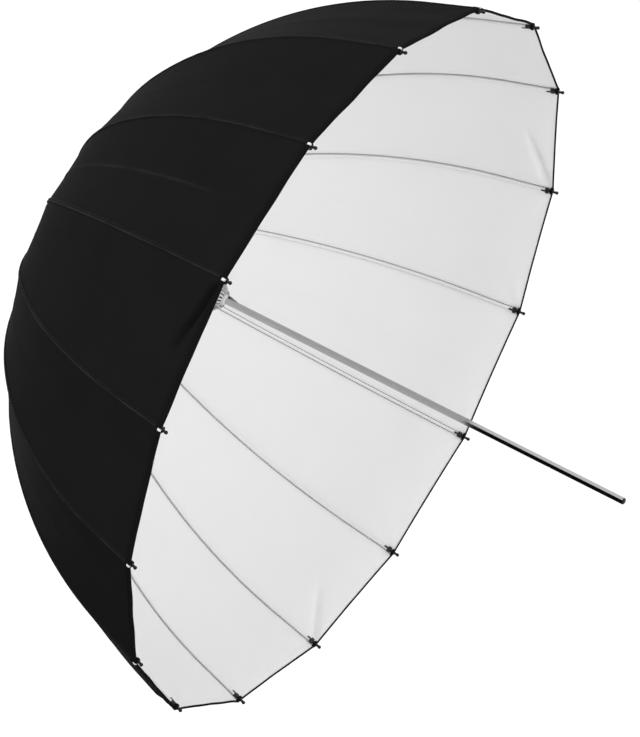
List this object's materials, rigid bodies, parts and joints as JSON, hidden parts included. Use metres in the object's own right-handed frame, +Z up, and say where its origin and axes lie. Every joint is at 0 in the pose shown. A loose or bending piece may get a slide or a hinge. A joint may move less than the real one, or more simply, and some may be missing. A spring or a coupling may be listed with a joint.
{
  "type": "umbrella reflector",
  "caption": "Deep umbrella reflector: a fabric bowl, black outside and white inside, on curved ribs that a runner on the steel shaft opens and folds.",
  "frame": {"origin": "on the axis of the shaft, in the middle of the stretch that a holder clamps", "axes": "+X along the shaft, out of the open side of the bowl and towards the free end; +Z up, midway between two ribs; +Y to the left of that"},
  "size_m": [0.7336, 0.8408, 0.8408],
  "materials": {
    "polished_steel": "polished tube",
    "spring_steel": "drawn and plated wire",
    "black_plastic": "moulded nylon",
    "white_plastic": "moulded nylon",
    "white_fibreglass": "pultruded rod",
    "black_steel": "black lacquer",
    "black_fabric": "woven nylon",
    "canopy_fabric": "black woven outside, white inside"
  },
  "bodies": {
    "shaft": {"shaft": "polished_steel", "shaft_plug": "black_plastic", "crown": "black_plastic", "crown_wire": "spring_steel", "crown_pin": "spring_steel", "rosette": "black_fabric", "end_cap": "black_plastic", "catch_spring": "spring_steel"},
    "catch": {"catch": "black_steel"},
    "runner": {"runner": "white_plastic", "runner_wire": "spring_steel"},
    "rib_01": {"rib_01": "white_fibreglass", "canopy_01": "canopy_fabric"},
    "rib_02": {"rib_02": "white_fibreglass", "canopy_02": "canopy_fabric"},
    "rib_03": {"rib_03": "white_fibreglass", "canopy_03": "canopy_fabric"},
    "rib_04": {"rib_04": "white_fibreglass", "canopy_04": "canopy_fabric"},
    "rib_05": {"rib_05": "white_fibreglass", "canopy_05": "canopy_fabric"},
    "rib_06": {"rib_06": "white_fibreglass", "canopy_06": "canopy_fabric"},
    "rib_07": {"rib_07": "white_fibreglass", "canopy_07": "canopy_fabric"},
    "rib_08": {"rib_08": "white_fibreglass", "canopy_08": "canopy_fabric"},
    "rib_09": {"rib_09": "white_fibreglass", "canopy_09": "canopy_fabric"},
    "rib_10": {"rib_10": "white_fibreglass", "canopy_10": "canopy_fabric"},
    "rib_11": {"rib_11": "white_fibreglass", "canopy_11": "canopy_fabric"},
    "rib_12": {"rib_12": "white_fibreglass", "canopy_12": "canopy_fabric"},
    "rib_13": {"rib_13": "white_fibreglass", "canopy_13": "canopy_fabric"},
    "rib_14": {"rib_14": "white_fibreglass", "canopy_14": "canopy_fabric"},
    "rib_15": {"rib_15": "white_fibreglass", "canopy_15": "canopy_fabric"},
    "rib_16": {"rib_16": "white_fibreglass", "canopy_16": "canopy_fabric"},
    "strut_01": {"strut_01": "spring_steel"},
    "strut_02": {"strut_02": "spring_steel"},
    "strut_03": {"strut_03": "spring_steel"},
    "strut_04": {"strut_04": "spring_steel"},
    "strut_05": {"strut_05": "spring_steel"},
    "strut_06": {"strut_06": "spring_steel"},
    "strut_07": {"strut_07": "spring_steel"},
    "strut_08": {"strut_08": "spring_steel"},
    "strut_09": {"strut_09": "spring_steel"},
    "strut_10": {"strut_10": "spring_steel"},
    "strut_11": {"strut_11": "spring_steel"},
    "strut_12": {"strut_12": "spring_steel"},
    "strut_13": {"strut_13": "spring_steel"},
    "strut_14": {"strut_14": "spring_steel"},
    "strut_15": {"strut_15": "spring_steel"},
    "strut_16": {"strut_16": "spring_steel"}
  },
  "joints": [
    {"name": "runner_slide", "type": "slide", "parent": "shaft", "child": "runner", "axis": [1, 0, 0], "range_m": [0, 0.14066], "deforming": ["catch"]},
    {"name": "catch_press", "type": "slide", "parent": "shaft", "child": "catch", "axis": [0, 0, -1], "range_m": [0, 0.0022], "stiffness_N_per_m": 800, "springref_m": -0.001, "deforming": ["catch_spring"]},
    {"name": "rib_fold_01", "type": "hinge", "parent": "shaft", "child": "rib_01", "pos_m": [-0.668, -0.00332, 0.01667], "axis": [0, 0.9808, 0.1951], "range_deg": [0, 47.14], "deforming": ["canopy_01"]},
    {"name": "rib_fold_02", "type": "hinge", "parent": "shaft", "child": "rib_02", "pos_m": [-0.668, -0.00945, 0.01413], "axis": [0, 0.8315, 0.5556], "range_deg": [0, 47.14], "deforming": ["canopy_02"]},
    {"name": "rib_fold_03", "type": "hinge", "parent": "shaft", "child": "rib_03", "pos_m": [-0.668, -0.01413, 0.00945], "axis": [0, 0.5556, 0.8315], "range_deg": [0, 47.14], "deforming": ["canopy_03"]},
    {"name": "rib_fold_04", "type": "hinge", "parent": "shaft", "child": "rib_04", "pos_m": [-0.668, -0.01667, 0.00332], "axis": [0, 0.1951, 0.9808], "range_deg": [0, 47.14], "deforming": ["canopy_04"]},
    {"name": "rib_fold_05", "type": "hinge", "parent": "shaft", "child": "rib_05", "pos_m": [-0.668, -0.01667, -0.00332], "axis": [0, -0.1951, 0.9808], "range_deg": [0, 47.14], "deforming": ["canopy_05"]},
    {"name": "rib_fold_06", "type": "hinge", "parent": "shaft", "child": "rib_06", "pos_m": [-0.668, -0.01413, -0.00945], "axis": [0, -0.5556, 0.8315], "range_deg": [0, 47.14], "deforming": ["canopy_06"]},
    {"name": "rib_fold_07", "type": "hinge", "parent": "shaft", "child": "rib_07", "pos_m": [-0.668, -0.00945, -0.01413], "axis": [0, -0.8315, 0.5556], "range_deg": [0, 47.14], "deforming": ["canopy_07"]},
    {"name": "rib_fold_08", "type": "hinge", "parent": "shaft", "child": "rib_08", "pos_m": [-0.668, -0.00332, -0.01667], "axis": [0, -0.9808, 0.1951], "range_deg": [0, 47.14], "deforming": ["canopy_08"]},
    {"name": "rib_fold_09", "type": "hinge", "parent": "shaft", "child": "rib_09", "pos_m": [-0.668, 0.00332, -0.01667], "axis": [0, -0.9808, -0.1951], "range_deg": [0, 47.14], "deforming": ["canopy_09"]},
    {"name": "rib_fold_10", "type": "hinge", "parent": "shaft", "child": "rib_10", "pos_m": [-0.668, 0.00945, -0.01413], "axis": [0, -0.8315, -0.5556], "range_deg": [0, 47.14], "deforming": ["canopy_10"]},
    {"name": "rib_fold_11", "type": "hinge", "parent": "shaft", "child": "rib_11", "pos_m": [-0.668, 0.01413, -0.00945], "axis": [0, -0.5556, -0.8315], "range_deg": [0, 47.14], "deforming": ["canopy_11"]},
    {"name": "rib_fold_12", "type": "hinge", "parent": "shaft", "child": "rib_12", "pos_m": [-0.668, 0.01667, -0.00332], "axis": [0, -0.1951, -0.9808], "range_deg": [0, 47.14], "deforming": ["canopy_12"]},
    {"name": "rib_fold_13", "type": "hinge", "parent": "shaft", "child": "rib_13", "pos_m": [-0.668, 0.01667, 0.00332], "axis": [0, 0.1951, -0.9808], "range_deg": [0, 47.14], "deforming": ["canopy_13"]},
    {"name": "rib_fold_14", "type": "hinge", "parent": "shaft", "child": "rib_14", "pos_m": [-0.668, 0.01413, 0.00945], "axis": [0, 0.5556, -0.8315], "range_deg": [0, 47.14], "deforming": ["canopy_14"]},
    {"name": "rib_fold_15", "type": "hinge", "parent": "shaft", "child": "rib_15", "pos_m": [-0.668, 0.00945, 0.01413], "axis": [0, 0.8315, -0.5556], "range_deg": [0, 47.14], "deforming": ["canopy_15"]},
    {"name": "rib_fold_16", "type": "hinge", "parent": "shaft", "child": "rib_16", "pos_m": [-0.668, 0.00332, 0.01667], "axis": [0, 0.9808, -0.1951], "range_deg": [0, 47.14], "deforming": ["canopy_16"]},
    {"name": "strut_fold_01", "type": "hinge", "parent": "runner", "child": "strut_01", "pos_m": [-0.48, -0.00176, 0.00883], "axis": [0, -0.9808, -0.1951], "range_deg": [0, 22.04]},
    {"name": "strut_fold_02", "type": "hinge", "parent": "runner", "child": "strut_02", "pos_m": [-0.48, -0.005, 0.00748], "axis": [0, -0.8315, -0.5556], "range_deg": [0, 22.04]},
    {"name": "strut_fold_03", "type": "hinge", "parent": "runner", "child": "strut_03", "pos_m": [-0.48, -0.00748, 0.005], "axis": [0, -0.5556, -0.8315], "range_deg": [0, 22.04]},
    {"name": "strut_fold_04", "type": "hinge", "parent": "runner", "child": "strut_04", "pos_m": [-0.48, -0.00883, 0.00176], "axis": [0, -0.1951, -0.9808], "range_deg": [0, 22.04]},
    {"name": "strut_fold_05", "type": "hinge", "parent": "runner", "child": "strut_05", "pos_m": [-0.48, -0.00883, -0.00176], "axis": [0, 0.1951, -0.9808], "range_deg": [0, 22.04]},
    {"name": "strut_fold_06", "type": "hinge", "parent": "runner", "child": "strut_06", "pos_m": [-0.48, -0.00748, -0.005], "axis": [0, 0.5556, -0.8315], "range_deg": [0, 22.04]},
    {"name": "strut_fold_07", "type": "hinge", "parent": "runner", "child": "strut_07", "pos_m": [-0.48, -0.005, -0.00748], "axis": [0, 0.8315, -0.5556], "range_deg": [0, 22.04]},
    {"name": "strut_fold_08", "type": "hinge", "parent": "runner", "child": "strut_08", "pos_m": [-0.48, -0.00176, -0.00883], "axis": [0, 0.9808, -0.1951], "range_deg": [0, 22.04]},
    {"name": "strut_fold_09", "type": "hinge", "parent": "runner", "child": "strut_09", "pos_m": [-0.48, 0.00176, -0.00883], "axis": [0, 0.9808, 0.1951], "range_deg": [0, 22.04]},
    {"name": "strut_fold_10", "type": "hinge", "parent": "runner", "child": "strut_10", "pos_m": [-0.48, 0.005, -0.00748], "axis": [0, 0.8315, 0.5556], "range_deg": [0, 22.04]},
    {"name": "strut_fold_11", "type": "hinge", "parent": "runner", "child": "strut_11", "pos_m": [-0.48, 0.00748, -0.005], "axis": [0, 0.5556, 0.8315], "range_deg": [0, 22.04]},
    {"name": "strut_fold_12", "type": "hinge", "parent": "runner", "child": "strut_12", "pos_m": [-0.48, 0.00883, -0.00176], "axis": [0, 0.1951, 0.9808], "range_deg": [0, 22.04]},
    {"name": "strut_fold_13", "type": "hinge", "parent": "runner", "child": "strut_13", "pos_m": [-0.48, 0.00883, 0.00176], "axis": [0, -0.1951, 0.9808], "range_deg": [0, 22.04]},
    {"name": "strut_fold_14", "type": "hinge", "parent": "runner", "child": "strut_14", "pos_m": [-0.48, 0.00748, 0.005], "axis": [0, -0.5556, 0.8315], "range_deg": [0, 22.04]},
    {"name": "strut_fold_15", "type": "hinge", "parent": "runner", "child": "strut_15", "pos_m": [-0.48, 0.005, 0.00748], "axis": [0, -0.8315, 0.5556], "range_deg": [0, 22.04]},
    {"name": "strut_fold_16", "type": "hinge", "parent": "runner", "child": "strut_16", "pos_m": [-0.48, 0.00176, 0.00883], "axis": [0, -0.9808, 0.1951], "range_deg": [0, 22.04]}
  ],
  "couplings": [
    {"joint": "rib_fold_01", "follows": "runner_slide", "rad_per_m": 5.8464},
    {"joint": "rib_fold_02", "follows": "runner_slide", "rad_per_m": 5.8464},
    {"joint": "rib_fold_03", "follows": "runner_slide", "rad_per_m": 5.8464},
    {"joint": "rib_fold_04", "follows": "runner_slide", "rad_per_m": 5.8464},
    {"joint": "rib_fold_05", "follows": "runner_slide", "rad_per_m": 5.8464},
    {"joint": "rib_fold_06", "follows": "runner_slide", "rad_per_m": 5.8464},
    {"joint": "rib_fold_07", "follows": "runner_slide", "rad_per_m": 5.8464},
    {"joint": "rib_fold_08", "follows": "runner_slide", "rad_per_m": 5.8464},
    {"joint": "rib_fold_09", "follows": "runner_slide", "rad_per_m": 5.8464},
    {"joint": "rib_fold_10", "follows": "runner_slide", "rad_per_m": 5.8464},
    {"joint": "rib_fold_11", "follows": "runner_slide", "rad_per_m": 5.8464},
    {"joint": "rib_fold_12", "follows": "runner_slide", "rad_per_m": 5.8464},
    {"joint": "rib_fold_13", "follows": "runner_slide", "rad_per_m": 5.8464},
    {"joint": "rib_fold_14", "follows": "runner_slide", "rad_per_m": 5.8464},
    {"joint": "rib_fold_15", "follows": "runner_slide", "rad_per_m": 5.8464},
    {"joint": "rib_fold_16", "follows": "runner_slide", "rad_per_m": 5.8464},
    {"joint": "strut_fold_01", "follows": "runner_slide", "rad_per_m": 2.7322},
    {"joint": "strut_fold_02", "follows": "runner_slide", "rad_per_m": 2.7322},
    {"joint": "strut_fold_03", "follows": "runner_slide", "rad_per_m": 2.7322},
    {"joint": "strut_fold_04", "follows": "runner_slide", "rad_per_m": 2.7322},
    {"joint": "strut_fold_05", "follows": "runner_slide", "rad_per_m": 2.7322},
    {"joint": "strut_fold_06", "follows": "runner_slide", "rad_per_m": 2.7322},
    {"joint": "strut_fold_07", "follows": "runner_slide", "rad_per_m": 2.7322},
    {"joint": "strut_fold_08", "follows": "runner_slide", "rad_per_m": 2.7322},
    {"joint": "strut_fold_09", "follows": "runner_slide", "rad_per_m": 2.7322},
    {"joint": "strut_fold_10", "follows": "runner_slide", "rad_per_m": 2.7322},
    {"joint": "strut_fold_11", "follows": "runner_slide", "rad_per_m": 2.7322},
    {"joint": "strut_fold_12", "follows": "runner_slide", "rad_per_m": 2.7322},
    {"joint": "strut_fold_13", "follows": "runner_slide", "rad_per_m": 2.7322},
    {"joint": "strut_fold_14", "follows": "runner_slide", "rad_per_m": 2.7322},
    {"joint": "strut_fold_15", "follows": "runner_slide", "rad_per_m": 2.7322},
    {"joint": "strut_fold_16", "follows": "runner_slide", "rad_per_m": 2.7322}
  ]
}
